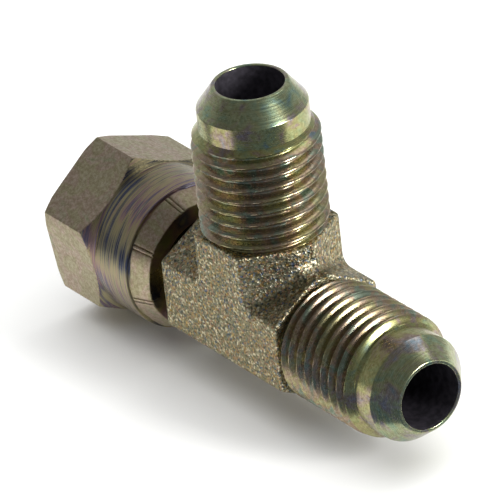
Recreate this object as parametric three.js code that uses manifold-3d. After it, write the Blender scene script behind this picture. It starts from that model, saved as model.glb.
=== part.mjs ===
import * as THREE from 'three';
import { mergeVertices } from 'three/addons/utils/BufferGeometryUtils.js';
import Module from 'manifold-3d';

// Swivel-nut run tee for 37 degree flared tube, 3/8 in tube size. Lengths are in millimetres.
// The run lies along X and the branch along +Z. Their centrelines cross at the origin.
// The run's +X end and the branch carry the same male flare end. The run's -X end is a nose
// with a loose nut crimped on behind it.

// ---- Driving dimensions ----

// Flare end, shared by the two male ends and, for the bore and thread, by the swivel end
const BORE_RADIUS = 3.77;
const THREAD_RADIUS = 7.14; // crest of a 9/16 in thread
const THREAD_PITCH = 25.4 / 18;
const FLARE_ANGLE = THREE.MathUtils.degToRad(37);
const RIM_WIDTH = 0.41; // flat ring left round the bore at the nose
const NOSE_STEP = 0.17; // how far the plain nose lies inside the thread's root
const NOSE_LENGTH = 2.4;
const THREADED_LENGTH = 11;
const THREAD_RELIEF = 0.12; // how far the neck lies inside the thread's root

// Forged block: two hexagonal bars that share their front and back flats
const RUN_REACH = 27.65; // centre to the rim of the run's male end
const BRANCH_REACH = 27.65;
const BLOCK_WALL = 3.13; // bore to flat
const RUN_BLOCK_LENGTH = 9.7; // centre to the block's +X end
const BRANCH_BLOCK_LENGTH = 10.2;
const SWIVEL_BLOCK_LENGTH = 11.1; // centre to the block's -X end
const BLOCK_EDGE = 0.45; // bevel round the ends of each bar

// Swivel nose, turned on the block's -X end
const NECK_WALL = 1.33;
const NECK_LENGTH = 3.7;
const FLANGE_LENGTH = 4;
const FLANGE_CLEARANCE = 0.14; // flange to the crest of the nut's thread
const SEAT_RIM = 0.22; // flat ring round the mouth of the seat

// Swivel nut
const NUT_LENGTH = 16.9;
const NUT_HEX_WALL = 1.43; // relief bore to hexagon flat
const NUT_HEX_LENGTH = 7; // mouth to where the corners start to fall away
const NUT_TURN = THREE.MathUtils.degToRad(38); // corner of the hexagon, from +Y towards +Z
const NUT_CORNER_ANGLE = THREE.MathUtils.degToRad(40); // slope of the corner chamfer at the tail
const NUT_MOUTH_CHAMFER = 0.45;
const NUT_MOUTH_ANGLE = THREE.MathUtils.degToRad(30);
const NUT_TAIL_WALL = 1.3;
const NUT_THREAD_ALLOWANCE = 0.06;
const NUT_RELIEF_DEPTH = 0.1; // relief bore outside the thread's root
const NUT_RELIEF_LENGTH = 1; // relief bore ahead of the flange
const NUT_BACK_GAP = 1.9; // block to nut
const CRIMP_LENGTH = 2.7;
const CRIMP_STEP = 0.2;
const CRIMP_DRAFT = 0.8; // how much smaller the crimped band is at its tail end
const CRIMP_JAWS = 8;
const CRIMP_BITE = 0.15; // how deep the jaws press their flats into the band
const CRIMP_TURN = THREE.MathUtils.degToRad(29.5); // how far the jaws are turned round the tail
const RUNNING_CLEARANCE = 0.35; // nut to nose, on the shoulder and on the neck

// Fineness of the round surfaces
const SIDES = 36;

// ---- Sizes worked out from them ----

const TURN = 2 * Math.PI;
const OVERRUN = 1; // how far a cutting shape runs past the face that it cuts
const CREST_FLAT = THREAD_PITCH / 8;
const THREAD_DEPTH = 0.6134 * THREAD_PITCH;
const NUT_THREAD_DEPTH = 0.5413 * THREAD_PITCH;

const rootRadius = THREAD_RADIUS - THREAD_DEPTH;
const noseRadius = rootRadius - NOSE_STEP;
const rimRadius = BORE_RADIUS + RIM_WIDTH;
const neckRadius = BORE_RADIUS + NECK_WALL;
const blockHalfWidth = BORE_RADIUS + BLOCK_WALL;

const nutRootRadius = THREAD_RADIUS + NUT_THREAD_ALLOWANCE;
const nutCrestRadius = nutRootRadius - NUT_THREAD_DEPTH;
const flangeRadius = nutCrestRadius - FLANGE_CLEARANCE;
const reliefRadius = nutRootRadius + NUT_RELIEF_DEPTH;
const lipRadius = neckRadius + RUNNING_CLEARANCE;
const nutHalfFlats = reliefRadius + NUT_HEX_WALL;
const nutTailRadius = reliefRadius + NUT_TAIL_WALL;

// Distances from the centre along -X
const flangeBack = SWIVEL_BLOCK_LENGTH + NECK_LENGTH;
const flangeCorner = flangeBack + flangeRadius - neckRadius;
const seatFace = flangeCorner + FLANGE_LENGTH;
const nutTail = SWIVEL_BLOCK_LENGTH + NUT_BACK_GAP;
const nutMouth = nutTail + NUT_LENGTH;
const reliefEnd = seatFace + NUT_RELIEF_LENGTH;

// ---- Solids ----

const wasm = await Module();
wasm.setup();

/** A closed three.js geometry as a solid that can be joined and cut. */
function toSolid(geometry) {
  const bare = geometry.clone();
  bare.deleteAttribute('normal');
  bare.deleteAttribute('uv');
  const merged = mergeVertices(bare, 1e-5);
  const corners = merged.index.array;
  const kept = [];
  for (let i = 0; i < corners.length; i += 3) {
    const [a, b, c] = corners.slice(i, i + 3);
    if (a !== b && b !== c && c !== a) kept.push(a, b, c);
  }
  return new wasm.Manifold(new wasm.Mesh({
    numProp: 3,
    vertProperties: new Float32Array(merged.attributes.position.array),
    triVerts: new Uint32Array(kept),
  }));
}

/** A solid as a named mesh. */
function toMesh(name, solid, material) {
  const { vertProperties, triVerts } = solid.getMesh();
  const geometry = new THREE.BufferGeometry();
  geometry.setAttribute('position', new THREE.BufferAttribute(vertProperties, 3));
  geometry.setIndex(new THREE.BufferAttribute(triVerts, 1));
  geometry.computeVertexNormals();
  const mesh = new THREE.Mesh(geometry, material);
  mesh.name = name;
  return mesh;
}

/** A turned shape about +Z. The outline is [radius, z] points, upwards, from the axis to the axis. */
function turned(outline) {
  const points = outline.map(([radius, z]) => new THREE.Vector2(radius, z));
  return new THREE.LatheGeometry(points, SIDES).rotateX(Math.PI / 2);
}

/** A regular prism about +Z with flats at halfWidth, its first corner turned from +X. */
function prism(corners, halfWidth, length, firstCorner, bevel = 0) {
  const radius = halfWidth / Math.cos(Math.PI / corners);
  const shape = new THREE.Shape();
  for (let i = 0; i < corners; i++) {
    const angle = firstCorner + (i * TURN) / corners;
    const point = [radius * Math.cos(angle), radius * Math.sin(angle)];
    if (i === 0) shape.moveTo(...point);
    else shape.lineTo(...point);
  }
  shape.closePath();
  const settings = {
    depth: length - 2 * bevel,
    bevelEnabled: bevel > 0,
    bevelThickness: bevel,
    bevelSize: bevel,
    bevelOffset: -bevel,
    bevelSegments: 1,
  };
  return new THREE.ExtrudeGeometry(shape, settings).translate(0, 0, bevel);
}

/**
 * A rod about +Z with a right-hand 60 degree thread. Its rows of points follow the helix:
 * a root and the two edges of the crest for each turn, and one column of rows for each side.
 */
function threadedRod(crestRadius, depth, bottom, top) {
  const section = [
    [0, crestRadius - depth],
    [(THREAD_PITCH - CREST_FLAT) / 2, crestRadius],
    [(THREAD_PITCH + CREST_FLAT) / 2, crestRadius],
  ];
  const turns = Math.ceil((top - bottom) / THREAD_PITCH) + 3;
  const rows = section.length * turns;
  const positions = [];
  const columnStart = [];
  for (let side = 0; side < SIDES; side++) {
    const angle = (side * TURN) / SIDES;
    const lastRow = side === 0 ? rows + section.length : rows;
    columnStart.push(positions.length / 3);
    for (let row = 0; row <= lastRow; row++) {
      const [along, radius] = section[row % section.length];
      const turn = Math.floor(row / section.length) - 2 + side / SIDES;
      const z = bottom + along + turn * THREAD_PITCH;
      positions.push(radius * Math.cos(angle), radius * Math.sin(angle), z);
    }
  }
  const point = (side, row) => (side < SIDES
    ? columnStart[side] + row
    : columnStart[0] + row + section.length);
  const centreBelow = positions.length / 3;
  positions.push(0, 0, bottom - 2 * THREAD_PITCH);
  const centreAbove = centreBelow + 1;
  positions.push(0, 0, bottom + turns * THREAD_PITCH);

  const triangles = [];
  for (let side = 0; side < SIDES; side++) {
    for (let row = 0; row < rows; row++) {
      const a = point(side, row);
      const b = point(side + 1, row);
      const c = point(side + 1, row + 1);
      const d = point(side, row + 1);
      triangles.push(a, b, c, a, c, d);
    }
    triangles.push(centreBelow, point(side + 1, 0), point(side, 0));
    triangles.push(centreAbove, point(side, rows), point(side + 1, rows));
  }
  for (let step = 0; step < section.length; step++) {
    triangles.push(centreBelow, point(0, step), point(0, step + 1));
    triangles.push(centreAbove, point(0, rows + step + 1), point(0, rows + step));
  }
  const geometry = new THREE.BufferGeometry();
  geometry.setAttribute('position', new THREE.Float32BufferAttribute(positions, 3));
  geometry.setIndex(triangles);
  return geometry;
}

/** Turns a shape built about +Z so that it points along +X. */
const alongPlusX = (geometry) => geometry.rotateY(Math.PI / 2);

/** Turns a shape built about +Z so that it points along -X. */
const alongMinusX = (geometry) => geometry.rotateY(-Math.PI / 2);

/** Male flare end about +Z: neck, thread, plain nose and 37 degree cone, from the centre out. */
function flareEnd(reach, place) {
  const coneBase = reach - (noseRadius - rimRadius) / Math.tan(FLARE_ANGLE);
  const threadTop = coneBase - NOSE_LENGTH;
  const crestTop = threadTop - (THREAD_RADIUS - noseRadius);
  const crestBottom = crestTop - THREADED_LENGTH;
  const neck = rootRadius - THREAD_RELIEF;
  const core = turned([
    [0, 0],
    [neck, 0],
    [neck, threadTop - NOSE_LENGTH / 2],
    [noseRadius, threadTop - NOSE_LENGTH / 2],
    [noseRadius, coneBase],
    [rimRadius, reach],
    [0, reach],
  ]);
  const blank = turned([
    [0, crestBottom - THREAD_DEPTH],
    [neck, crestBottom - THREAD_DEPTH],
    [THREAD_RADIUS + OVERRUN, crestBottom + OVERRUN],
    [THREAD_RADIUS + OVERRUN, crestTop - OVERRUN],
    [noseRadius, threadTop],
    [0, threadTop],
  ]);
  const rod = threadedRod(THREAD_RADIUS, THREAD_DEPTH, crestBottom, threadTop);
  const thread = toSolid(place(rod)).intersect(toSolid(place(blank)));
  return toSolid(place(core)).add(thread);
}

/** Nose that the nut turns on, about +Z: neck, 45 degree shoulder and flange. */
function swivelNose() {
  return turned([
    [0, 0],
    [neckRadius, 0],
    [neckRadius, flangeBack],
    [flangeRadius, flangeCorner],
    [flangeRadius, seatFace],
    [0, seatFace],
  ]);
}

/** What the drill and the seat cutter take out of the run, about +Z towards the swivel end. */
function seatCut() {
  const seatRadius = flangeRadius - SEAT_RIM;
  const seatDepth = (seatRadius - BORE_RADIUS) / Math.tan(FLARE_ANGLE);
  return turned([
    [0, 0],
    [BORE_RADIUS, 0],
    [BORE_RADIUS, seatFace - seatDepth],
    [seatRadius, seatFace],
    [seatRadius, seatFace + OVERRUN],
    [0, seatFace + OVERRUN],
  ]);
}

/** A straight hole about +Z, from just short of the centre out through the rim. */
function drill(reach) {
  return turned([
    [0, -OVERRUN],
    [BORE_RADIUS, -OVERRUN],
    [BORE_RADIUS, reach + OVERRUN],
    [0, reach + OVERRUN],
  ]);
}

/** The forged and machined tee: one piece of steel. */
function teeBody(material) {
  const asBuilt = (geometry) => geometry;
  const flatsToFront = 0;
  const runLength = RUN_BLOCK_LENGTH + SWIVEL_BLOCK_LENGTH;
  const runBar = alongPlusX(prism(6, blockHalfWidth, runLength, flatsToFront, BLOCK_EDGE))
    .translate(-SWIVEL_BLOCK_LENGTH, 0, 0);
  const branchBar = prism(6, blockHalfWidth, BRANCH_BLOCK_LENGTH, flatsToFront, BLOCK_EDGE);
  const solid = toSolid(runBar)
    .add(toSolid(branchBar))
    .add(flareEnd(RUN_REACH, alongPlusX))
    .add(flareEnd(BRANCH_REACH, asBuilt))
    .add(toSolid(alongMinusX(swivelNose())))
    .subtract(toSolid(alongPlusX(drill(RUN_REACH))))
    .subtract(toSolid(drill(BRANCH_REACH)))
    .subtract(toSolid(alongMinusX(seatCut())));
  return toMesh('tee_body', solid, material);
}

/** Outside of the nut about +Z: hexagon, corner chamfers, turned tail and crimped band. */
function nutOutside() {
  const cornerRadius = nutHalfFlats / Math.cos(Math.PI / 6);
  const cornerEnd = nutMouth - NUT_HEX_LENGTH;
  const chamferEnd = cornerEnd - (cornerRadius - nutTailRadius) * Math.tan(NUT_CORNER_ANGLE);
  const crimpEnd = nutTail + CRIMP_LENGTH;
  const mouthRadius = cornerRadius - NUT_MOUTH_CHAMFER / Math.tan(NUT_MOUTH_ANGLE);
  const bandRadius = nutTailRadius - CRIMP_STEP;
  const outline = turned([
    [0, nutTail],
    [bandRadius - CRIMP_DRAFT, nutTail],
    [bandRadius, crimpEnd],
    [nutTailRadius, crimpEnd],
    [nutTailRadius, chamferEnd],
    [cornerRadius + OVERRUN, cornerEnd + OVERRUN * Math.tan(NUT_CORNER_ANGLE)],
    [cornerRadius + OVERRUN, nutMouth - NUT_MOUTH_CHAMFER - OVERRUN * Math.tan(NUT_MOUTH_ANGLE)],
    [mouthRadius, nutMouth],
    [0, nutMouth],
  ]);
  const hexagon = prism(6, nutHalfFlats, nutMouth + OVERRUN, Math.PI / 2 - NUT_TURN);
  return toSolid(alongMinusX(outline)).intersect(toSolid(alongMinusX(hexagon)));
}

/** The flats that the crimping jaws press round the tail, as the block that is left inside them. */
function crimpJaws() {
  const crimpEnd = nutTail + CRIMP_LENGTH;
  const sides = Math.cos(Math.PI / CRIMP_JAWS);
  const front = (nutTailRadius - CRIMP_STEP - CRIMP_BITE) / sides;
  const back = front - CRIMP_DRAFT / sides;
  const slope = (front - back) / CRIMP_LENGTH;
  const clear = (nutHalfFlats / Math.cos(Math.PI / 6) + OVERRUN) / sides;
  const jaws = new THREE.LatheGeometry([
    new THREE.Vector2(0, nutTail - OVERRUN),
    new THREE.Vector2(back - slope * OVERRUN, nutTail - OVERRUN),
    new THREE.Vector2(front, crimpEnd),
    new THREE.Vector2(clear, crimpEnd),
    new THREE.Vector2(clear, nutMouth + OVERRUN),
    new THREE.Vector2(0, nutMouth + OVERRUN),
  ], CRIMP_JAWS);
  return toSolid(alongMinusX(jaws.rotateX(Math.PI / 2).rotateZ(CRIMP_TURN)));
}

/** Inside of the nut about +Z: lip, shoulder, relief bore, thread and mouth chamfer. */
function nutInside() {
  const shift = RUNNING_CLEARANCE * Math.SQRT2;
  const shoulderAt = (radius) => flangeBack + (radius - neckRadius) - shift;
  const bore = turned([
    [0, nutTail - OVERRUN],
    [lipRadius, nutTail - OVERRUN],
    [lipRadius, shoulderAt(lipRadius)],
    [reliefRadius, shoulderAt(reliefRadius)],
    [reliefRadius, reliefEnd],
    [nutCrestRadius, reliefEnd + reliefRadius - nutCrestRadius],
    [nutCrestRadius, nutMouth - (reliefRadius - nutCrestRadius)],
    [reliefRadius, nutMouth],
    [reliefRadius, nutMouth + OVERRUN],
    [0, nutMouth + OVERRUN],
  ]);
  const limits = turned([
    [0, reliefEnd - OVERRUN],
    [reliefRadius, reliefEnd - OVERRUN],
    [reliefRadius, nutMouth + OVERRUN],
    [0, nutMouth + OVERRUN],
  ]);
  const rod = threadedRod(nutRootRadius, NUT_THREAD_DEPTH, reliefEnd, nutMouth);
  const thread = toSolid(alongMinusX(rod)).intersect(toSolid(alongMinusX(limits)));
  return toSolid(alongMinusX(bore)).add(thread);
}

/** The swivel nut: one turned and crimped piece, loose on the nose. */
function swivelNut(material) {
  const solid = nutOutside().intersect(crimpJaws()).subtract(nutInside());
  return toMesh('swivel_nut', solid, material);
}

const platedForging = new THREE.MeshStandardMaterial({ color: 0x8e8b78, roughness: 0.45, metalness: 0.9 });
const platedTurning = new THREE.MeshStandardMaterial({ color: 0x9b9684, roughness: 0.35, metalness: 0.9 });

const fitting = new THREE.Group();
fitting.add(teeBody(platedForging));
fitting.add(swivelNut(platedTurning));

export default fitting;
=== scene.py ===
import math

import bpy
import numpy as np
from mathutils import Matrix, Vector


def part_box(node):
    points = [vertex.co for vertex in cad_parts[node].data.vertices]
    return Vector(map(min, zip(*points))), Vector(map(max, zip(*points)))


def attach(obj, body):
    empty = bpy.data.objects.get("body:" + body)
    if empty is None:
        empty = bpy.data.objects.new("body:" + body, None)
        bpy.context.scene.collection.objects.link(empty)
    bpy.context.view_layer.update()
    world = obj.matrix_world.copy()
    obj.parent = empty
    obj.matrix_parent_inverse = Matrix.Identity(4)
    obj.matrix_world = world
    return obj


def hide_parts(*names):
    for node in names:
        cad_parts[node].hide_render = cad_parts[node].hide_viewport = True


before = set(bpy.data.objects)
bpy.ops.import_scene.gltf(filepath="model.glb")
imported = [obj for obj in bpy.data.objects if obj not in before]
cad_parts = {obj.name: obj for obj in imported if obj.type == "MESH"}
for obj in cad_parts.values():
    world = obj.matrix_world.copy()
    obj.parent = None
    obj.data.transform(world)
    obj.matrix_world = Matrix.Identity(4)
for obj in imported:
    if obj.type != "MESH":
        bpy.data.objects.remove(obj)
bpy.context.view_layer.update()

# ---------------------------------------------------------------------------
# Forged block
# The middle of the tee: two hexagonal bars that run into each other, hot forged in one steel
# billet, trimmed round the parting line, shot-blasted, drilled and zinc plated.
# ---------------------------------------------------------------------------
MM = 0.001  # the pieces' sizes are in millimetres, and those of the studio round them in metres
tee_low, tee_high = (np.array(corner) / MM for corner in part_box("tee_body"))

HEX_SIDES = 6
HALF_FLATS = 6.9
HALF_CORNERS = HALF_FLATS / math.cos(math.pi / HEX_SIDES)
FLAT_LEAN = math.radians(60)  # how far round from the front flat the slanted flats face
RUN_END = 9.7
SWIVEL_END = -11.1
BRANCH_END = 10.2
EDGE_ROUND = 0.3
END_ROUND = 0.35
CROTCH_ROUND = 1.3
LAND_CUT = 0.75  # trimming takes this much off the ridge along the parting line
LAND_CROTCH = 1.8
LAND_STEP = 0.07  # the land is left in fine steps, torn by the trimming die
LAND_STEP_LENGTH = 0.75
LAND_EDGE = 0.1
SKIN_SPACING = 0.2
BLOCK_SHARP = 38  # degrees: the drilled rims stay sharp and the forged edges stay soft
BORE_RADIUS = 3.77
BORE_SIDES = 128
DRILL_CLEAR = 1.0  # the drill starts and stops this far outside the block
ON_WALL = 0.02  # a face whose middle is this near a bore's wall belongs to the bore


def soft_max(a, b, radius):
    """The larger of two distances, rounded where they are nearly alike."""
    share = np.clip(0.5 + 0.5 * (a - b) / radius, 0.0, 1.0)
    return a * share + b * (1.0 - share) + radius * share * (1.0 - share)


def soft_min(a, b, radius):
    """The smaller of two distances, rounded where they are nearly alike."""
    return -soft_max(-a, -b, radius)


def block_distance(points):
    """Distance of points from the skin of the forging: both bars, their shared flats, the crotch
    and the land that trimming leaves along the parting line."""
    x, y, z = points[:, 0], points[:, 1], points[:, 2]
    slanted = math.cos(FLAT_LEAN) * np.abs(y) - HALF_FLATS
    middle = (SWIVEL_END + RUN_END) / 2
    run = slanted + math.sin(FLAT_LEAN) * np.abs(z)
    run = soft_max(run, np.abs(x - middle) - (RUN_END - SWIVEL_END) / 2, END_ROUND)
    branch = slanted + math.sin(FLAT_LEAN) * np.abs(x)
    branch = np.maximum(soft_max(branch, z - BRANCH_END, END_ROUND), -z)
    body = soft_min(run, branch, CROTCH_ROUND)
    body = soft_max(body, np.abs(y) - HALF_FLATS, EDGE_ROUND)
    ridge = HALF_CORNERS - LAND_CUT + LAND_STEP * np.sin((x + z) * (2 * math.pi / LAND_STEP_LENGTH))
    land_branch = np.maximum(np.abs(x) - ridge, -z)
    land = soft_min(np.abs(z) - ridge, land_branch, LAND_CROTCH)
    return soft_max(body, land, LAND_EDGE)


def drop_to_skin(points, distance, steps=5, probe=0.01, least_slope=0.5):
    """Moves points along the slope of a distance until they lie on its skin."""
    for _ in range(steps):
        here = distance(points)
        slope = np.empty_like(points)
        for i in range(3):
            shift = np.zeros(3)
            shift[i] = probe
            slope[:, i] = (distance(points + shift) - distance(points - shift)) / (2 * probe)
        steep = np.maximum((slope ** 2).sum(axis=1), least_slope ** 2)
        points = points - slope * (here / steep)[:, None]
    return points


def new_mesh(name, points, faces):
    """A mesh object from points in millimetres."""
    mesh = bpy.data.meshes.new(name)
    mesh.from_pydata((np.asarray(points) * MM).tolist(), [], faces)
    mesh.validate()
    piece = bpy.data.objects.new(name, mesh)
    bpy.context.collection.objects.link(piece)
    return piece


def shade(piece, sharp_degrees):
    """Smooth shading that breaks at edges sharper than the angle."""
    piece.data.polygons.foreach_set("use_smooth", [True] * len(piece.data.polygons))
    piece.data.set_sharp_from_angle(angle=math.radians(sharp_degrees))


def apply_modifiers(piece):
    """Makes a piece's modifiers part of its mesh."""
    graph = bpy.context.evaluated_depsgraph_get()
    finished = bpy.data.meshes.new_from_object(piece.evaluated_get(graph))
    piece.modifiers.clear()
    piece.data = finished


def prism(sides, radius, place, low, high):
    """Points and faces of a plain bar with flat ends, from low to high along its axis."""
    turns = [2 * math.pi * i / sides for i in range(sides)]
    points = []
    for along in (low, high):
        points += [place(radius * math.cos(turn), radius * math.sin(turn), along) for turn in turns]
    faces = [tuple(range(sides - 1, -1, -1)), tuple(range(sides, 2 * sides))]
    for i in range(sides):
        after = (i + 1) % sides
        faces.append((i, after, after + sides, i + sides))
    return points, faces


def corner_up_along_x(up, across, along):
    """Places the run's bar with two of its corners above and below its centreline."""
    return along, across, up


def along_x(a, b, along):
    """Places a turned or drilled shape on the run's centreline."""
    return along, a, b


def along_z(a, b, along):
    """Places a turned or drilled shape on the branch's centreline."""
    return a, b, along


run_points, run_faces = prism(HEX_SIDES, HALF_CORNERS, corner_up_along_x, SWIVEL_END, RUN_END)
branch_points, branch_faces = prism(HEX_SIDES, HALF_CORNERS, along_z, 0.0, BRANCH_END)
run_faces = [tuple(reversed(face)) for face in run_faces]
branch_faces = [tuple(corner + len(run_points) for corner in face) for face in branch_faces]
block = new_mesh("forged_block", run_points + branch_points, run_faces + branch_faces)
remesh = block.modifiers.new("skin", "REMESH")
remesh.mode = "VOXEL"
remesh.voxel_size = SKIN_SPACING * MM
apply_modifiers(block)

point_count = len(block.data.vertices)
skin = np.empty(point_count * 3)
block.data.vertices.foreach_get("co", skin)
skin = drop_to_skin(skin.reshape(point_count, 3) / MM, block_distance)
block.data.vertices.foreach_set("co", (skin * MM).ravel())
block.data.update()

drills = [
    new_mesh("run_drill", *prism(BORE_SIDES, BORE_RADIUS, along_x,
                                 SWIVEL_END - DRILL_CLEAR, RUN_END + DRILL_CLEAR)),
    new_mesh("branch_drill", *prism(BORE_SIDES, BORE_RADIUS, along_z, 0.0, BRANCH_END + DRILL_CLEAR)),
]
for drill in drills:
    cut = block.modifiers.new("bore", "BOOLEAN")
    cut.operation = "DIFFERENCE"
    cut.solver = "EXACT"
    cut.object = drill
apply_modifiers(block)
for drill in drills:
    bpy.data.objects.remove(drill)


def linear(hex_colour):
    """An sRGB hex colour as the linear colour that a shader takes."""
    channels = [int(hex_colour[i:i + 2], 16) / 255 for i in (1, 3, 5)]
    return tuple(c / 12.92 if c <= 0.04045 else ((c + 0.055) / 1.055) ** 2.4 for c in channels) + (1.0,)


def add_node(material, kind, inputs=None, stops=(), **settings):
    """Adds a node to a material, with its settings and with its inputs set or linked. Stops are
    the colours of a ramp, each a place and a hex colour."""
    node = material.node_tree.nodes.new(kind)
    for name, value in settings.items():
        setattr(node, name, value)
    for i, (place, colour) in enumerate(stops):
        ramp = node.color_ramp.elements
        stop = ramp[i] if i < len(ramp) else ramp.new(1.0)
        stop.position = place
        stop.color = linear(colour)
    for socket, value in (inputs or {}).items():
        if isinstance(value, bpy.types.NodeSocket):
            material.node_tree.links.new(value, node.inputs[socket])
        else:
            node.inputs[socket].default_value = value
    return node


def new_material(name):
    """An empty material and its output node."""
    material = bpy.data.materials.new(name)
    material.use_nodes = True
    material.node_tree.nodes.clear()
    return material, add_node(material, "ShaderNodeOutputMaterial")


def per_metre(size_mm):
    """The scale that gives a pattern features of a size in millimetres."""
    return 1.0 / (size_mm * MM)


BLAST_DENT = 0.24  # the shot's dents, drawn a little wider than they are so that they show
BLAST_GRAIN = 0.3  # the uneven ground between the dents, coarser for the same reason
BLAST_DEPTH = 0.11
DENT_FILM_AND_GLINT_SHARE = 0.85
GRAIN_SHARE = 0.8
FORGING_CLOUD = 2.6  # patches where the passivation took a little warmer or greener
FORGING_TINTS = [(0.34, "#a8a38f"), (0.46, "#b1ac91"), (0.54, "#b5a496"), (0.66, "#a0a38c")]
# Each dent's colour: the passivation's gold, pink and blue-grey tints, and near-white painted glints.
DENT_FILM_AND_PAINTED_GLINTS = [(0.0, "#63769c"), (0.10, "#808775"), (0.26, "#9b9379"), (0.50, "#aea889"),
               (0.68, "#bd9482"), (0.80, "#cda85e"), (0.90, "#f6ead0")]
GRAIN_SHADES = [(0.36, "#48463e"), (0.44, "#a1a192"), (0.51, "#ebefe2"), (0.60, "#f9ffff")]


def passivated_forging():
    """Yellow-passivated zinc on shot-blasted steel. The blasting leaves it dull and grainy. Single dents
    are coloured gold, pink, blue-grey and near white on a khaki ground: partly the passivation's own
    tints, partly painted glints."""
    material, output = new_material("yellow_passivated_forging")
    place = add_node(material, "ShaderNodeTexCoord").outputs["Object"]
    grain = add_node(material, "ShaderNodeTexNoise", {
        "Vector": place, "Scale": per_metre(BLAST_GRAIN), "Detail": 3.0, "Roughness": 0.75,
    }).outputs["Fac"]
    dents = add_node(material, "ShaderNodeTexVoronoi", {
        "Vector": place, "Scale": per_metre(BLAST_DENT), "Randomness": 1.0,
    })
    clouds = add_node(material, "ShaderNodeTexNoise", {
        "Vector": place, "Scale": per_metre(FORGING_CLOUD), "Detail": 2.0, "Roughness": 0.5,
    }).outputs["Fac"]
    tint = add_node(material, "ShaderNodeValToRGB", {"Fac": clouds}, stops=FORGING_TINTS)
    dent_pick = add_node(material, "ShaderNodeSeparateColor", {"Color": dents.outputs["Color"]})
    # Every dent takes one colour from this ramp. The palest ones are painted glints.
    dent_film_and_glint = add_node(material, "ShaderNodeValToRGB", {"Fac": dent_pick.outputs[0]}, stops=DENT_FILM_AND_PAINTED_GLINTS)
    with_dent_film_and_glints = add_node(material, "ShaderNodeMix", {
        0: DENT_FILM_AND_GLINT_SHARE, 6: tint.outputs["Color"], 7: dent_film_and_glint.outputs["Color"],
    }, data_type="RGBA")
    grain_shade = add_node(material, "ShaderNodeValToRGB", {"Fac": grain}, stops=GRAIN_SHADES)
    colour = add_node(material, "ShaderNodeMix", {
        0: GRAIN_SHARE, 6: with_dent_film_and_glints.outputs[2], 7: grain_shade.outputs["Color"],
    }, data_type="RGBA", blend_type="MULTIPLY").outputs[2]
    rough = add_node(material, "ShaderNodeMapRange", {
        "Value": grain, "From Min": 0.35, "From Max": 0.62, "To Min": 0.44, "To Max": 0.27,
    }).outputs["Result"]
    pits = add_node(material, "ShaderNodeMath", {
        0: dents.outputs["Distance"], 1: grain,
    }, operation="ADD").outputs[0]
    bump = add_node(material, "ShaderNodeBump", {
        "Height": pits, "Strength": 0.8, "Distance": BLAST_DEPTH * MM,
    }).outputs["Normal"]
    # The dents shade one another at a low angle, so the skin brightens less there than a smooth one.
    surface = add_node(material, "ShaderNodeBsdfPrincipled", {
        "Base Color": colour, "Metallic": 1.0, "Roughness": rough, "Normal": bump,
        "Specular Tint": linear("#c6c6c0"),
    })
    material.node_tree.links.new(surface.outputs[0], output.inputs["Surface"])
    return material


# Painted shade: the bores are coloured a dull plum black for the shade deep inside them.
BORE_SHADE_PATCH = 0.7
BORE_SHADE_TINTS = [(0.35, "#322f35"), (0.65, "#4a464e")]


def painted_shade_bore():
    """Drilled steel coloured a dull plum black: painted shade that makes the bores read as deep
    holes."""
    material, output = new_material("drilled_steel_painted_shade")
    place = add_node(material, "ShaderNodeTexCoord").outputs["Object"]
    bore_patches = add_node(material, "ShaderNodeTexNoise", {
        "Vector": place, "Scale": per_metre(BORE_SHADE_PATCH), "Detail": 2.0,
    }).outputs["Fac"]
    colour = add_node(material, "ShaderNodeValToRGB", {"Fac": bore_patches}, stops=BORE_SHADE_TINTS).outputs["Color"]
    surface = add_node(material, "ShaderNodeBsdfPrincipled", {
        "Base Color": colour, "Metallic": 0.6, "Roughness": 0.6,
    })
    material.node_tree.links.new(surface.outputs[0], output.inputs["Surface"])
    return material


def in_bore(centre):
    """Whether a point in millimetres lies on the wall of a bore in the block."""
    x, y, z = centre
    in_run = math.hypot(y, z) < BORE_RADIUS + ON_WALL
    in_branch = math.hypot(x, y) < BORE_RADIUS + ON_WALL and z > 0
    return in_run or in_branch


# The bores' painted shade, used in the block, the ends and the swivel nose.
bore_shade_steel = painted_shade_bore()
block.data.materials.clear()
block.data.materials.append(passivated_forging())
block.data.materials.append(bore_shade_steel)
for face in block.data.polygons:
    # Faces on a bore's wall take the bores' painted shade.
    face.material_index = int(in_bore(face.center / MM))
shade(block, BLOCK_SHARP)
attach(block, "tee")
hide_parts("tee_body")

# ---------------------------------------------------------------------------
# Male flare ends
# The run's +X end and the branch, turned and threaded on the forging: a short neck, 9/16-18
# thread, a plain nose and the 37 degree cone that the flared tube seals on.
# ---------------------------------------------------------------------------
RUN_REACH = tee_high[0]
BRANCH_REACH = tee_high[2]
PITCH = 25.4 / 18  # eighteen threads to the inch
CREST_RADIUS = 7.14
THREAD_DEPTH = 0.6134 * PITCH  # of an outside 60 degree thread
FLANK_ANGLE = math.radians(30)
CREST_FLAT = PITCH / 8
CREST_ROUND = 0.32  # rolling and plating leave the crests full and round
ROOT_ROUND = 0.1
ROOT_RADIUS = CREST_RADIUS - THREAD_DEPTH
NOSE_STEP = 0.17
NOSE_RADIUS = ROOT_RADIUS - NOSE_STEP
NOSE_LENGTH = 2.4
NECK_STEP = 0.12
NECK_RADIUS = ROOT_RADIUS - NECK_STEP
LEAST_NECK = 0.1  # of neck above the sunk end
RIM_WIDTH = 0.41
RIM_RADIUS = BORE_RADIUS + RIM_WIDTH
BORE_SHADE_START = 0.15  # the bore's painted shade starts this far in, so the mouth keeps the nose's zinc
THREADED_LENGTH = 11.0
THREAD_FLOOR = NOSE_RADIUS + 0.1  # what lies below this radius carries no thread
CONE_ANGLE = math.radians(37)
TURNED_EDGE = 0.12  # radius on the turned edges
ROOTED = 0.6  # how far an end is sunk in the block
ROOT_CLEAR = 0.3  # the sunk length stands this far back from the bore
COLUMNS = 192
THREAD_ROW = 0.075
PLAIN_ROW = 0.6
TURNED_SHARP = 32  # degrees
ALONG_RUN, ALONG_BRANCH = 0, 2  # which coordinate runs along each end


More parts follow.
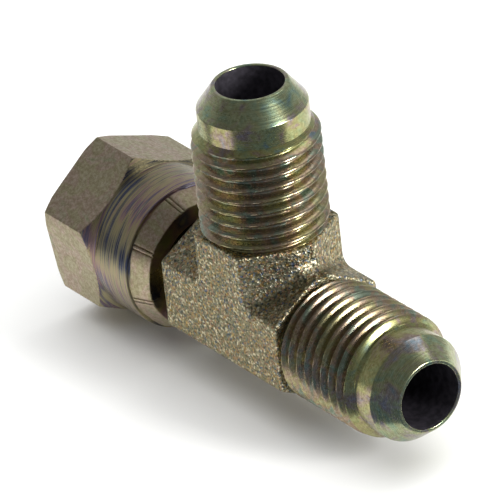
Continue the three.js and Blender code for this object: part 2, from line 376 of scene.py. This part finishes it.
def rounded(outline, radius, arc_steps=4, most_of_side=0.45):
    """An outline of (along, out) points with its corners turned into small arcs."""
    outline = [np.array(point, dtype=float) for point in outline]
    result = [outline[0]]
    for before, corner, after in zip(outline, outline[1:], outline[2:]):
        back = before - corner
        ahead = after - corner
        back_length = np.linalg.norm(back)
        ahead_length = np.linalg.norm(ahead)
        reach = min(radius, most_of_side * back_length, most_of_side * ahead_length)
        start = corner + back / back_length * reach
        end = corner + ahead / ahead_length * reach
        for i in range(arc_steps + 1):
            t = i / arc_steps
            result.append((1 - t) ** 2 * start + 2 * t * (1 - t) * corner + t ** 2 * end)
    result.append(outline[-1])
    return result


def spaced(outline, step):
    """An outline with points added so that no two are further apart than the step."""
    outline = [np.array(point, dtype=float) for point in outline]
    result = [outline[0]]
    for start, end in zip(outline, outline[1:]):
        pieces = max(1, math.ceil(np.linalg.norm(end - start) / step))
        for i in range(1, pieces + 1):
            result.append(start + (end - start) * i / pieces)
    return result


def thread_profile(along, angle, crest, root):
    """Radius of a right-hand 60 degree thread at a place along and round it."""
    turn = along / PITCH - angle / (2 * math.pi)
    off_crest = np.abs(turn - np.round(turn)) * PITCH
    flank = crest - (off_crest - CREST_FLAT / 2) / math.tan(FLANK_ANGLE)
    rolled = soft_min(flank, np.full_like(flank, crest), CREST_ROUND)
    return soft_max(rolled, np.full_like(flank, root), ROOT_ROUND)


def revolve(name, outline, radius_at, place, columns):
    """A closed ring-shaped skin: an outline of (along, out) points swept round the axis.
    radius_at gives the radius from the outline's points and the angle."""
    along = np.array([point[0] for point in outline])[:, None]
    out = np.array([point[1] for point in outline])[:, None]
    angle = (np.arange(columns) * 2 * math.pi / columns)[None, :]
    radius = radius_at(along, out, angle)
    along, angle = np.broadcast_arrays(along, angle)
    points = place(radius * np.cos(angle), radius * np.sin(angle), along)
    points = np.stack(points, axis=-1).reshape(-1, 3)
    rows = len(outline)
    faces = []
    for row in range(rows):
        here = row * columns
        there = (row + 1) % rows * columns
        for column in range(columns):
            after = (column + 1) % columns
            faces.append((here + column, here + after, there + after, there + column))
    return new_mesh(name, points, faces)


def male_radius(along, out, angle):
    """A male end's turned outline, cut back to the thread where it stands above the nose."""
    thread = thread_profile(along, angle, CREST_RADIUS, ROOT_RADIUS)
    turned = np.broadcast_to(out, thread.shape)
    return np.where(turned < THREAD_FLOOR, turned, soft_min(turned, thread, ROOT_ROUND))


def flare_end(name, reach, block_end, place):
    """One male flare end: neck, thread, nose, cone, rim and bore in one turned skin."""
    cone_base = reach - (NOSE_RADIUS - RIM_RADIUS) / math.tan(CONE_ANGLE)
    thread_top = cone_base - NOSE_LENGTH
    crest_top = thread_top - (CREST_RADIUS - NOSE_RADIUS)
    crest_bottom = crest_top - THREADED_LENGTH
    sunk = block_end - ROOTED
    neck_end = max(crest_bottom - (CREST_RADIUS - NECK_RADIUS), sunk + LEAST_NECK)
    neck = [(sunk, NECK_RADIUS), (neck_end, NECK_RADIUS)]
    threaded = [
        (neck_end, NECK_RADIUS),
        (crest_bottom, CREST_RADIUS),
        (crest_top, CREST_RADIUS),
        (thread_top, NOSE_RADIUS),
    ]
    nose = [
        (thread_top, NOSE_RADIUS),
        (cone_base, NOSE_RADIUS),
        (reach, RIM_RADIUS),
        (reach, BORE_RADIUS),
        (block_end, BORE_RADIUS),
        (block_end, BORE_RADIUS + ROOT_CLEAR),
        (sunk, BORE_RADIUS + ROOT_CLEAR),
    ]
    outline = spaced(neck, PLAIN_ROW)
    outline += spaced(threaded, THREAD_ROW)[1:]
    outline += spaced(rounded(nose, TURNED_EDGE), PLAIN_ROW)[1:]
    piece = revolve(name, outline, male_radius, place, COLUMNS)
    shade(piece, TURNED_SHARP)
    return piece


FILM_CLOUD = 3.0  # patches of thicker and thinner passivation
GRIME = 0.4  # fine marks of handling and dust
TOOL_RING = 0.16  # the lathe's fine feed, drawn wider than it is so that it shows
TOOL_RING_DEPTH = 0.006
GRIME_COLOUR = "#d3cfc4"
GLOSS_SPREAD = 0.12


def turned_zinc(name, axis, gloss, tints, ring=TOOL_RING, ring_depth=TOOL_RING_DEPTH):
    """Yellow-passivated zinc on turned steel. The tool's fine rings draw the reflections out round
    the axis, and the passivation tints the bright metal in soft patches of the given colours."""
    material, output = new_material(name)
    place = add_node(material, "ShaderNodeTexCoord").outputs["Object"]
    split = add_node(material, "ShaderNodeSeparateXYZ", {"Vector": place})
    rings = add_node(material, "ShaderNodeTexNoise", {
        "W": split.outputs[axis], "Scale": per_metre(ring), "Detail": 2.0, "Roughness": 0.6,
    }, noise_dimensions="1D").outputs["Fac"]
    film = add_node(material, "ShaderNodeTexNoise", {
        "Vector": place, "Scale": per_metre(FILM_CLOUD),
        "Detail": 4.0, "Roughness": 0.6, "Distortion": 0.8,
    }).outputs["Fac"]
    grime = add_node(material, "ShaderNodeTexNoise", {
        "Vector": place, "Scale": per_metre(GRIME), "Detail": 4.0, "Roughness": 0.8,
    }).outputs["Fac"]
    speckle = add_node(material, "ShaderNodeMapRange", {
        "Value": grime, "From Min": 0.38, "From Max": 0.6, "To Min": 0.0, "To Max": 1.0,
    }).outputs["Result"]
    tint = add_node(material, "ShaderNodeValToRGB", {"Fac": film}, stops=tints)
    colour = add_node(material, "ShaderNodeMix", {
        0: speckle, 6: tint.outputs["Color"], 7: linear(GRIME_COLOUR),
    }, data_type="RGBA", blend_type="MULTIPLY").outputs[2]
    streak = add_node(material, "ShaderNodeMath", {0: rings, 1: grime}, operation="ADD").outputs[0]
    rough = add_node(material, "ShaderNodeMapRange", {
        "Value": streak, "From Min": 0.7, "From Max": 1.3, "To Min": gloss, "To Max": gloss + GLOSS_SPREAD,
    }).outputs["Result"]
    bump = add_node(material, "ShaderNodeBump", {
        "Height": streak, "Strength": 0.5, "Distance": ring_depth * MM,
    }).outputs["Normal"]
    surface = add_node(material, "ShaderNodeBsdfPrincipled", {
        "Base Color": colour, "Metallic": 1.0, "Roughness": rough, "Normal": bump,
    })
    material.node_tree.links.new(surface.outputs[0], output.inputs["Surface"])
    return material


# The cones are turned smoothest, to seal: a bright face with a thin green and steel-blue film.
CONE_GLOSS = 0.2
CONE_FILM = [(0.28, "#7f9da0"), (0.38, "#9cb195"), (0.50, "#b0b58e"), (0.60, "#a99f9b"), (0.72, "#869cab")]
run_cone_zinc = turned_zinc("yellow_passivated_cone_run", "X", CONE_GLOSS, CONE_FILM)
branch_cone_zinc = turned_zinc("yellow_passivated_cone_branch", "Z", CONE_GLOSS, CONE_FILM)

# The plain noses are as smooth but hold more of the film: olive gold, going pink and slate.
NOSE_GLOSS = 0.2
NOSE_FILM = [(0.28, "#8aa09b"), (0.38, "#a0aa7c"), (0.50, "#afab78"), (0.60, "#a8958d"), (0.72, "#8799a3")]
run_nose_zinc = turned_zinc("yellow_passivated_turning_run", "X", NOSE_GLOSS, NOSE_FILM)
branch_nose_zinc = turned_zinc("yellow_passivated_turning_branch", "Z", NOSE_GLOSS, NOSE_FILM)

# The threads are a shade duller and browner, because the film gathers between the crests.
THREAD_GLOSS = 0.22
THREAD_FILM = [(0.32, "#999e82"), (0.43, "#aea77e"), (0.52, "#ac9684"), (0.62, "#8f9d8c")]
run_thread_zinc = turned_zinc("yellow_passivated_thread_run", "X", THREAD_GLOSS, THREAD_FILM)
branch_thread_zinc = turned_zinc("yellow_passivated_thread_branch", "Z", THREAD_GLOSS, THREAD_FILM)


def finish_end(piece, axis, reach, thread_zinc, nose_zinc, cone_zinc):
    """Gives an end its four finishes: thread, nose, bore and cone."""
    cone_base = reach - (NOSE_RADIUS - RIM_RADIUS) / math.tan(CONE_ANGLE)
    thread_end = cone_base - NOSE_LENGTH - (CREST_RADIUS - NOSE_RADIUS)
    for material in (thread_zinc, nose_zinc, bore_shade_steel, cone_zinc):
        piece.data.materials.append(material)
    on_nose, on_bore, on_cone = 1, 2, 3
    for face in piece.data.polygons:
        centre = np.array(face.center) / MM
        along = centre[axis]
        out = np.linalg.norm(np.delete(centre, axis))
        # Faces down in the bore take its painted shade.
        if out < BORE_RADIUS + ON_WALL and along < reach - BORE_SHADE_START:
            face.material_index = on_bore
        elif along > cone_base:
            face.material_index = on_cone
        elif along > thread_end:
            face.material_index = on_nose


run_end = flare_end("run_flare_end", RUN_REACH, RUN_END, along_x)
branch_end = flare_end("branch_flare_end", BRANCH_REACH, BRANCH_END, along_z)
finish_end(run_end, ALONG_RUN, RUN_REACH, run_thread_zinc, run_nose_zinc, run_cone_zinc)
finish_end(branch_end, ALONG_BRANCH, BRANCH_REACH, branch_thread_zinc, branch_nose_zinc, branch_cone_zinc)
for end in (run_end, branch_end):
    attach(end, "tee")
    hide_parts("tee_body")

# ---------------------------------------------------------------------------
# Swivel nose
# The run's -X end, turned on the forging: a neck, a flange that the nut pulls on, and the
# 37 degree seat bored in its face. Only its neck shows between the nut and the block.
# ---------------------------------------------------------------------------
SEAT_FACE = tee_low[0]
SWIVEL_NECK_WALL = 1.33
SWIVEL_NECK_RADIUS = BORE_RADIUS + SWIVEL_NECK_WALL
NECK_LENGTH = 3.7
NUT_THREAD_PLAY = 0.06
NUT_ROOT_RADIUS = CREST_RADIUS + NUT_THREAD_PLAY
NUT_THREAD_DEPTH = 0.5413 * PITCH  # of an inside 60 degree thread
NUT_CREST_RADIUS = NUT_ROOT_RADIUS - NUT_THREAD_DEPTH
FLANGE_PLAY = 0.14  # the flange passes through the nut's thread
FLANGE_RADIUS = NUT_CREST_RADIUS - FLANGE_PLAY
SEAT_RIM = 0.22
SEAT_RADIUS = FLANGE_RADIUS - SEAT_RIM
HAIR = 0.01  # keeps an outline's last point off its first, and a limit just beyond what it holds

flange_back = SWIVEL_END - NECK_LENGTH
flange_corner = flange_back - (FLANGE_RADIUS - SWIVEL_NECK_RADIUS)
seat_bottom = SEAT_FACE + (SEAT_RADIUS - BORE_RADIUS) / math.tan(CONE_ANGLE)
nose_outline = [
    (SEAT_FACE, SEAT_RADIUS),
    (SEAT_FACE, FLANGE_RADIUS),
    (flange_corner, FLANGE_RADIUS),
    (flange_back, SWIVEL_NECK_RADIUS),
    (SWIVEL_END + ROOTED, SWIVEL_NECK_RADIUS),
    (SWIVEL_END + ROOTED, BORE_RADIUS + ROOT_CLEAR),
    (SWIVEL_END, BORE_RADIUS + ROOT_CLEAR),
    (SWIVEL_END, BORE_RADIUS),
    (seat_bottom, BORE_RADIUS),
    (SEAT_FACE + HAIR, SEAT_RADIUS - HAIR),
]


def plain_radius(along, out, angle):
    """The outline's own radius, all the way round."""
    return np.broadcast_to(out, (out.shape[0], angle.shape[1]))


swivel_nose = revolve("swivel_nose", spaced(rounded(nose_outline, TURNED_EDGE), PLAIN_ROW),
                      plain_radius, along_x, COLUMNS)
shade(swivel_nose, TURNED_SHARP)
swivel_nose.data.materials.append(run_nose_zinc)
swivel_nose.data.materials.append(bore_shade_steel)
for face in swivel_nose.data.polygons:
    centre = np.array(face.center) / MM
    # Faces on the bore's wall take the bores' painted shade.
    face.material_index = int(np.linalg.norm(centre[1:]) < BORE_RADIUS + ON_WALL)
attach(swivel_nose, "tee")
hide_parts("tee_body")

# ---------------------------------------------------------------------------
# Swivel nut
# Turned from cold-drawn hexagon bar, threaded inside, slipped over the nose and crimped on. The
# eight jaws of the crimping tool leave shallow flats round its tail, a groove along their front
# edge and a pair of lines between neighbouring flats.
# ---------------------------------------------------------------------------
nut_low, nut_high = (np.array(corner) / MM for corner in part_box("swivel_nut"))
NUT_MOUTH = nut_low[0]
NUT_TAIL = nut_high[0]
RELIEF_STEP = 0.1
RELIEF_RADIUS = NUT_ROOT_RADIUS + RELIEF_STEP
RELIEF_PAST_SEAT = 1.0
NUT_FLAT_WALL = 1.43
NUT_TAIL_WALL = 1.3
NUT_HALF_FLATS = RELIEF_RADIUS + NUT_FLAT_WALL
NUT_TAIL_RADIUS = RELIEF_RADIUS + NUT_TAIL_WALL
RUNNING_CLEARANCE = 0.35
LIP_RADIUS = SWIVEL_NECK_RADIUS + RUNNING_CLEARANCE
NUT_HEX_LENGTH = 7.0
NUT_TURN = math.radians(38)
CORNER_ANGLE = math.radians(40)
MOUTH_CHAMFER = 0.45
MOUTH_ANGLE = math.radians(30)
HEX_EDGE = 0.06  # softening of the hexagon's long edges
NUT_EDGE = 0.1  # and of the turned ones
CRIMP_LENGTH = 2.7
CRIMP_STEP = 0.2
CRIMP_DRAFT = 0.8
JAWS = 8
JAW_TURN = NUT_TURN - math.pi / JAWS
JAW_BITE = 0.15  # how deep the jaws press their flats
JAW_ROUND = 0.3
STEP_FACE = 0.05  # length of the step down into the groove
STEP_GROOVE = 0.14  # the jaws' front edge leaves a groove this deep
GROOVE_FLOOR = 0.1
GROOVE_WIDTH = 0.22
MARK_DEPTH = 0.2  # the edges of two neighbouring jaws leave a pair of lines this deep
MARK_WIDTH = 0.15
MARK_SPACING = 0.5
MARK_FADE = 1.5  # over this much radius, on the tail's end face
BAND_RAMP = 0.12
NUT_COLUMNS = 720
NUT_ROW = 0.1
NUT_SHARP = 40  # degrees

nut_corner_radius = NUT_HALF_FLATS / math.cos(math.pi / HEX_SIDES)
corner_end = NUT_MOUTH + NUT_HEX_LENGTH
chamfer_end = corner_end + (nut_corner_radius - NUT_TAIL_RADIUS) * math.tan(CORNER_ANGLE)
crimp_end = NUT_TAIL - CRIMP_LENGTH
band_radius = NUT_TAIL_RADIUS - CRIMP_STEP
mouth_radius = nut_corner_radius - MOUTH_CHAMFER / math.tan(MOUTH_ANGLE)
shoulder_shift = flange_back + RUNNING_CLEARANCE * math.sqrt(2) + SWIVEL_NECK_RADIUS
relief_end = SEAT_FACE - RELIEF_PAST_SEAT
thread_chamfer = RELIEF_RADIUS - NUT_CREST_RADIUS

nut_outside = [
    (NUT_MOUTH, RELIEF_RADIUS),
    (NUT_MOUTH, mouth_radius),
    (NUT_MOUTH + MOUTH_CHAMFER, nut_corner_radius),
    (corner_end, nut_corner_radius),
    (chamfer_end, NUT_TAIL_RADIUS),
    (crimp_end - STEP_FACE, NUT_TAIL_RADIUS),
    (crimp_end, band_radius - STEP_GROOVE),
    (crimp_end + GROOVE_FLOOR, band_radius - STEP_GROOVE),
    (crimp_end + GROOVE_WIDTH, band_radius),
    (NUT_TAIL, band_radius - CRIMP_DRAFT),
    (NUT_TAIL, LIP_RADIUS),
]
nut_inside = [
    (NUT_TAIL, LIP_RADIUS),
    (shoulder_shift - LIP_RADIUS, LIP_RADIUS),
    (shoulder_shift - RELIEF_RADIUS, RELIEF_RADIUS),
    (relief_end, RELIEF_RADIUS),
    (relief_end - thread_chamfer, NUT_CREST_RADIUS),
    (NUT_MOUTH + thread_chamfer, NUT_CREST_RADIUS),
    (NUT_MOUTH + HAIR, RELIEF_RADIUS - HAIR),
]


def polygon_radius(angle, sides, half_flats, first_corner):
    """Radius of a regular polygon's side at an angle."""
    sector = 2 * math.pi / sides
    off_flat = (angle - first_corner) % sector - sector / 2
    return half_flats / np.cos(off_flat)


def nut_outer_radius(along, out, angle):
    """The turned outline held inside the hexagon and, on the band, inside the jaws' flats."""
    turned = np.broadcast_to(out, (out.shape[0], angle.shape[1]))
    hexagon = polygon_radius(angle, HEX_SIDES, NUT_HALF_FLATS, NUT_TURN)
    plain = soft_min(turned, np.broadcast_to(hexagon, turned.shape), HEX_EDGE)
    flats = polygon_radius(angle, JAWS, 1.0, JAW_TURN) * (out - JAW_BITE)
    pressed = soft_min(turned, flats, JAW_ROUND)
    sector = 2 * math.pi / JAWS
    off_gap = ((angle - JAW_TURN + sector / 2) % sector - sector / 2) * band_radius
    line = np.exp(-((np.abs(off_gap) - MARK_SPACING / 2) / (MARK_WIDTH / 2)) ** 2)
    outer_part = np.clip((out - LIP_RADIUS) / MARK_FADE, 0.0, 1.0)
    on_band = np.clip((along - crimp_end) / BAND_RAMP, 0.0, 1.0) * outer_part
    whole = plain * (1 - on_band) + (pressed - MARK_DEPTH * line) * on_band
    return np.where(out < LIP_RADIUS + HAIR, turned, whole)


def nut_inner_radius(along, out, angle):
    """The bored outline with the thread cut into it from the mouth to the relief."""
    bored = plain_radius(along, out, angle)
    groove = thread_profile(along, angle, NUT_ROOT_RADIUS, NUT_CREST_RADIUS)
    threaded = (along < relief_end + HAIR) & (out > NUT_CREST_RADIUS - HAIR)
    return np.where(threaded, soft_max(bored, groove, ROOT_ROUND), bored)


outside_rows = spaced(rounded(nut_outside, NUT_EDGE), NUT_ROW)
inside_rows = spaced(rounded(nut_inside, TURNED_EDGE), NUT_ROW)[1:]


def nut_radius(along, out, angle):
    """The nut's whole skin: outside rows first, then inside rows."""
    split = len(outside_rows)
    outer = nut_outer_radius(along[:split], out[:split], angle)
    inner = nut_inner_radius(along[split:], out[split:], angle)
    return np.concatenate([outer, inner])


nut = revolve("swivel_nut_skin", outside_rows + inside_rows, nut_radius, along_x, NUT_COLUMNS)
shade(nut, NUT_SHARP)

# The flats keep the smooth skin that the hexagon bar was drawn with: satin, evenly pale and warm,
# with faint die lines. The jaws and the facing tool leave the band and the mouth face much alike.
FLAT_GLOSS = 0.4
DIE_LINE = 0.5
DIE_LINE_DEPTH = 0.02
HEX_FILM = [(0.32, "#b9af97"), (0.46, "#b2aa8b"), (0.56, "#bca898"), (0.70, "#a8aa8b")]
drawn_flats = turned_zinc("yellow_passivated_drawn_flats", "Y", FLAT_GLOSS, HEX_FILM,
                          DIE_LINE, DIE_LINE_DEPTH)

RING_ARC = 9.0  # how far round a tool mark keeps one colour
RING_SQUEEZE = 30.0  # how much narrower it is, still coarser than the lathe's feed so that it shows
RING_DEPTH = 0.04
TAIL_CLOUD = 6.0
TAIL_TINTS = [(0.38, "#41465a"), (0.43, "#7c7665"), (0.48, "#a0966f"), (0.52, "#967a76"),
              (0.57, "#5f5c70"), (0.62, "#a59c7b")]


def turned_tail_zinc():
    """Yellow-passivated zinc over coarse lathe marks: dull gold, plum and slate rings that run
    part of the way round, because the passivation takes unevenly on the tool marks."""
    material, output = new_material("yellow_passivated_turned_tail")
    place = add_node(material, "ShaderNodeTexCoord").outputs["Object"]
    squeezed = add_node(material, "ShaderNodeMapping", {
        "Vector": place, "Scale": (RING_SQUEEZE, 1.0, 1.0),
    }).outputs["Vector"]
    rings = add_node(material, "ShaderNodeTexNoise", {
        "Vector": squeezed, "Scale": per_metre(RING_ARC), "Detail": 5.0, "Roughness": 0.6,
    }).outputs["Fac"]
    clouds = add_node(material, "ShaderNodeTexNoise", {
        "Vector": place, "Scale": per_metre(TAIL_CLOUD), "Detail": 1.0,
    }).outputs["Fac"]
    grime = add_node(material, "ShaderNodeTexNoise", {
        "Vector": place, "Scale": per_metre(GRIME), "Detail": 3.0, "Roughness": 0.7,
    }).outputs["Fac"]
    mixed = add_node(material, "ShaderNodeMath", {0: rings, 1: clouds}, operation="ADD").outputs[0]
    film = add_node(material, "ShaderNodeMath", {0: mixed, 1: 0.5}, operation="MULTIPLY").outputs[0]
    colour = add_node(material, "ShaderNodeValToRGB", {"Fac": film}, stops=TAIL_TINTS).outputs["Color"]
    rough = add_node(material, "ShaderNodeMapRange", {
        "Value": rings, "From Min": 0.35, "From Max": 0.65, "To Min": 0.24, "To Max": 0.42,
    }).outputs["Result"]
    marks = add_node(material, "ShaderNodeMath", {0: rings, 1: grime}, operation="ADD").outputs[0]
    bump = add_node(material, "ShaderNodeBump", {
        "Height": marks, "Strength": 0.6, "Distance": RING_DEPTH * MM,
    }).outputs["Normal"]
    surface = add_node(material, "ShaderNodeBsdfPrincipled", {
        "Base Color": colour, "Metallic": 1.0, "Roughness": rough, "Normal": bump,
    })
    material.node_tree.links.new(surface.outputs[0], output.inputs["Surface"])
    return material


NEAR_EDGE = 0.05  # how far inside its true radius a flat or a face may lie and still count as one
BAND_EDGE = 0.15  # the jaws' finish starts this far behind the step


def on_drawn_skin(centre):
    """Whether a point in millimetres is on the nut's flats, its crimped band or its mouth face."""
    along, out = centre[0], np.linalg.norm(centre[1:])
    if out < RELIEF_RADIUS - NEAR_EDGE and along < crimp_end:
        return False
    angle = math.atan2(centre[2], centre[1])
    flat_radius = polygon_radius(angle, HEX_SIDES, NUT_HALF_FLATS, NUT_TURN)
    on_flat = out > flat_radius - NEAR_EDGE and along < chamfer_end
    lowest_band = band_radius - CRIMP_DRAFT - JAW_BITE
    on_band = out > lowest_band - NEAR_EDGE and along > crimp_end + BAND_EDGE
    on_mouth = out > RELIEF_RADIUS - NEAR_EDGE and along < NUT_MOUTH + MOUTH_CHAMFER
    return on_flat or on_band or on_mouth


nut.data.materials.append(drawn_flats)
nut.data.materials.append(turned_tail_zinc())
for face in nut.data.polygons:
    face.material_index = int(not on_drawn_skin(np.array(face.center) / MM))
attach(nut, "nut")
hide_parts("swivel_nut")

# ---------------------------------------------------------------------------
# Camera
# A long lens a metre away, looking down at the fitting from the front, to the right of the
# branch, with the run's open end nearest.
# ---------------------------------------------------------------------------
AZIMUTH = math.radians(56.72)  # round from the -Y side towards +X
ELEVATION = math.radians(29.69)
ROLL = math.radians(-6.6)
CAMERA_DISTANCE = 1000 * MM
LENS = 665.4  # millimetres, as is the sensor
SENSOR = 36.0
NEAREST_SEEN = 0.05
FURTHEST_SEEN = 20.0
AIM_RIGHT = -2.73 * MM  # where the lens points, from the crossing of the two centrelines
AIM_UP = 5.99 * MM


def direction_to(azimuth, elevation):
    """A unit vector from the fitting, at an angle round from the -Y side and an angle up."""
    return Vector((
        math.sin(azimuth) * math.cos(elevation),
        -math.cos(azimuth) * math.cos(elevation),
        math.sin(elevation),
    ))


camera_back = direction_to(AZIMUTH, ELEVATION)
level_right = Vector((math.cos(AZIMUTH), math.sin(AZIMUTH), 0.0))
level_up = camera_back.cross(level_right)
camera_right = math.cos(ROLL) * level_right + math.sin(ROLL) * level_up
camera_up = math.cos(ROLL) * level_up - math.sin(ROLL) * level_right
camera_place = camera_back * CAMERA_DISTANCE + camera_right * AIM_RIGHT + camera_up * AIM_UP

camera_data = bpy.data.cameras.new("camera")
camera_data.lens = LENS
camera_data.sensor_width = SENSOR
camera_data.clip_start = NEAREST_SEEN
camera_data.clip_end = FURTHEST_SEEN
camera = bpy.data.objects.new("camera", camera_data)
camera.matrix_world = Matrix((
    (camera_right.x, camera_up.x, camera_back.x, camera_place.x),
    (camera_right.y, camera_up.y, camera_back.y, camera_place.y),
    (camera_right.z, camera_up.z, camera_back.z, camera_place.z),
    (0.0, 0.0, 0.0, 1.0),
))
scene = bpy.context.scene
bpy.context.collection.objects.link(camera)
scene.camera = camera
scene.view_settings.view_transform = "Standard"

# ---------------------------------------------------------------------------
# Floor
# A wide sheet of white paper that the fitting rests on.
# ---------------------------------------------------------------------------
FLOOR_HALF = 3.0
floor_height = min(tee_low[2], nut_low[2]) * MM


def flat_sheet(name, corners, faces, height):
    """A level sheet from (x, y) corners in metres at one height."""
    mesh = bpy.data.meshes.new(name)
    mesh.from_pydata([(x, y, height) for x, y in corners], [], faces)
    sheet = bpy.data.objects.new(name, mesh)
    bpy.context.collection.objects.link(sheet)
    return sheet


floor = flat_sheet("floor", [(-FLOOR_HALF, -FLOOR_HALF), (FLOOR_HALF, -FLOOR_HALF),
                             (FLOOR_HALF, FLOOR_HALF), (-FLOOR_HALF, FLOOR_HALF)],
                   [(0, 1, 2, 3)], floor_height)

# Uncoated white paper: matt, so that it stays an even pale ground with a soft shadow.
paper, paper_output = new_material("white_paper")
paper_surface = add_node(paper, "ShaderNodeBsdfPrincipled", {
    "Base Color": linear("#f4f4f2"), "Roughness": 0.8, "Specular IOR Level": 0.2,
})
paper.node_tree.links.new(paper_surface.outputs[0], paper_output.inputs["Surface"])
floor.data.materials.append(paper)

# ---------------------------------------------------------------------------
# Light
# A white tent that is bright behind the fitting and dim on the camera's side, a soft light low on
# the right that draws the highlights on the crests, a weaker one high behind, and a large one
# overhead that whitens the floor and isn't mirrored in the metal.
# ---------------------------------------------------------------------------
TENT_BACK = 0.8
TENT_SIDE = 0.44
ROOM_FRONT = 0.19
TENT_COLOUR = "#fafcff"
FULLY_BEHIND = -0.9  # a direction's share towards the camera, from -1 straight behind to 1
SIDEWAYS = -0.1
FULLY_IN_FRONT = 0.3

world = bpy.data.worlds.new("studio")
world.use_nodes = True
scene.world = world
backdrop = world.node_tree.nodes["Background"]
direction = add_node(world, "ShaderNodeTexCoord").outputs["Generated"]
facing = add_node(world, "ShaderNodeVectorMath", {
    0: direction, 1: tuple(camera_back),
}, operation="DOT_PRODUCT").outputs["Value"]
side = add_node(world, "ShaderNodeMapRange", {
    "Value": facing, "From Min": FULLY_BEHIND, "From Max": SIDEWAYS,
    "To Min": TENT_BACK, "To Max": TENT_SIDE,
}).outputs["Result"]
front = add_node(world, "ShaderNodeMapRange", {
    "Value": facing, "From Min": SIDEWAYS, "From Max": FULLY_IN_FRONT,
    "To Min": 0.0, "To Max": TENT_SIDE - ROOM_FRONT,
}).outputs["Result"]
glow = add_node(world, "ShaderNodeMath", {0: side, 1: front}, operation="SUBTRACT").outputs[0]
world.node_tree.links.new(glow, backdrop.inputs["Strength"])
backdrop.inputs["Color"].default_value = linear(TENT_COLOUR)


def softbox(name, azimuth, elevation, distance, width, height, watts):
    """A soft light aimed at the fitting, from angles in degrees and lengths in metres."""
    data = bpy.data.lights.new(name, "AREA")
    data.shape = "RECTANGLE"
    data.size = width
    data.size_y = height
    data.energy = watts
    light = bpy.data.objects.new(name, data)
    away = direction_to(math.radians(azimuth), math.radians(elevation))
    light.location = away * distance
    light.rotation_euler = away.to_track_quat("Z", "Y").to_euler()
    bpy.context.collection.objects.link(light)
    return light


softbox("right_light", azimuth=109, elevation=20, distance=0.6, width=0.15, height=0.2, watts=3.8)
softbox("back_light", azimuth=172, elevation=57, distance=0.6, width=0.3, height=0.3, watts=0.45)
paper_fill = softbox("paper_fill", azimuth=236, elevation=85, distance=0.9,
                     width=1.6, height=1.6, watts=14.0)
paper_fill.visible_glossy = False

# ---------------------------------------------------------------------------
# Dark cards
# Two cards laid on the paper, seen only in the metal: a fan that opens towards the camera, cut
# back round the fitting, and a wedge out to the left. They give the bright zinc its dark tones.
# ---------------------------------------------------------------------------
CARD_HEIGHT = 0.0005
FAN_MIDDLE = math.radians(63)
FAN_SPREAD = math.radians(55)
FAN_TURNS = (-1.0, -0.5, 0.0, 0.5, 1.0)
FAN_NEAR = (0.027, 0.027, 0.027, 0.035, 0.036)  # further off under the run, whose cone mirrors paper
FAN_FAR = (0.6,) * len(FAN_TURNS)
LEFT_WEDGE = [(-0.03, -0.034), (-0.45, -0.6), (-0.6, -0.25), (-0.09, -0.034)]

card_corners = []
for reaches in (FAN_NEAR, FAN_FAR):
    for turn, reach in zip(FAN_TURNS, reaches):
        way = FAN_MIDDLE + turn * FAN_SPREAD
        card_corners.append((math.sin(way) * reach, -math.cos(way) * reach))
ribs = len(FAN_TURNS)
card_faces = [(i, i + ribs, i + ribs + 1, i + 1) for i in range(ribs - 1)]
wedge = len(card_corners)
card_faces.append((wedge, wedge + 3, wedge + 2, wedge + 1))
card = flat_sheet("black_card", card_corners + LEFT_WEDGE, card_faces, floor_height + CARD_HEIGHT)
card.visible_camera = False
card.visible_diffuse = False
card.visible_shadow = False

# Slate-coloured velvet: a matt, cool dark that the metal mirrors without a shine of its own.
velvet, velvet_output = new_material("slate_velvet")
velvet_surface = add_node(velvet, "ShaderNodeBsdfDiffuse", {"Color": linear("#58606f")})
velvet.node_tree.links.new(velvet_surface.outputs[0], velvet_output.inputs["Surface"])
card.data.materials.append(velvet)
